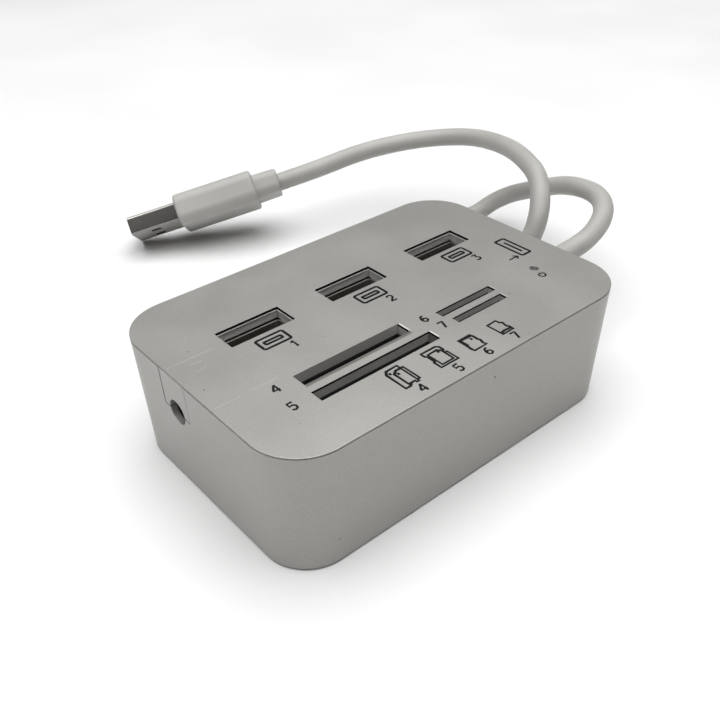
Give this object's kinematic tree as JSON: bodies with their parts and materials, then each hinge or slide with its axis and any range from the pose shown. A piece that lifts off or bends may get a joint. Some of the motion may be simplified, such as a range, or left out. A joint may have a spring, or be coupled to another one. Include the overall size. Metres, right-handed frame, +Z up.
{
  "type": "usb hub card reader",
  "caption": "Small desktop box with upright USB ports and card slots in its lid, a power jack hole in one end, and a short captive cable with a plug.",
  "frame": {"origin": "middle of the base of the case, on the table", "axes": "+X along the case to the cable end, -Y to the side with the card slots, +Z up"},
  "size_m": [0.1185, 0.1211, 0.0281],
  "materials": {
    "case_paint": "warm silver-grey satin paint",
    "steel": "plain plated steel",
    "board": "green board",
    "socket_plastic": "black moulded",
    "contact_gold": "thin gold plating",
    "led_lens": "clear lens, unlit",
    "chip_plastic": "dark moulded",
    "can_aluminium": "plain can",
    "cable_plastic": "soft pale grey, satin",
    "wire_plastic": "thin insulation"
  },
  "bodies": {
    "root": {"body_tub": "case_paint", "top_cover": "case_paint", "case_screws": "steel", "main_board": "board", "large_card_socket": "socket_plastic", "stick_card_contacts": "contact_gold", "sd_card_contacts": "contact_gold", "small_card_socket": "socket_plastic", "mini_stick_contacts": "contact_gold", "micro_card_contacts": "contact_gold", "jack_body": "socket_plastic", "jack_pin": "steel", "jack_spring": "steel", "power_led": "led_lens", "led_leads": "steel", "hub_chip": "chip_plastic", "reader_chip": "chip_plastic", "chip_leads": "steel", "crystal": "steel", "capacitors": "can_aluminium", "chip_resistors": "chip_plastic", "cable_gland": "cable_plastic", "cable": "cable_plastic", "cable_wires": "wire_plastic", "plug_shell": "steel", "plug_insulator": "socket_plastic", "plug_contacts": "contact_gold", "plug_grip": "cable_plastic", "usb_port_1_shell": "steel", "usb_port_1_insulator": "socket_plastic", "usb_port_1_contacts": "contact_gold", "usb_port_2_shell": "steel", "usb_port_2_insulator": "socket_plastic", "usb_port_2_contacts": "contact_gold", "usb_port_3_shell": "steel", "usb_port_3_insulator": "socket_plastic", "usb_port_3_contacts": "contact_gold"}
  },
  "joints": []
}
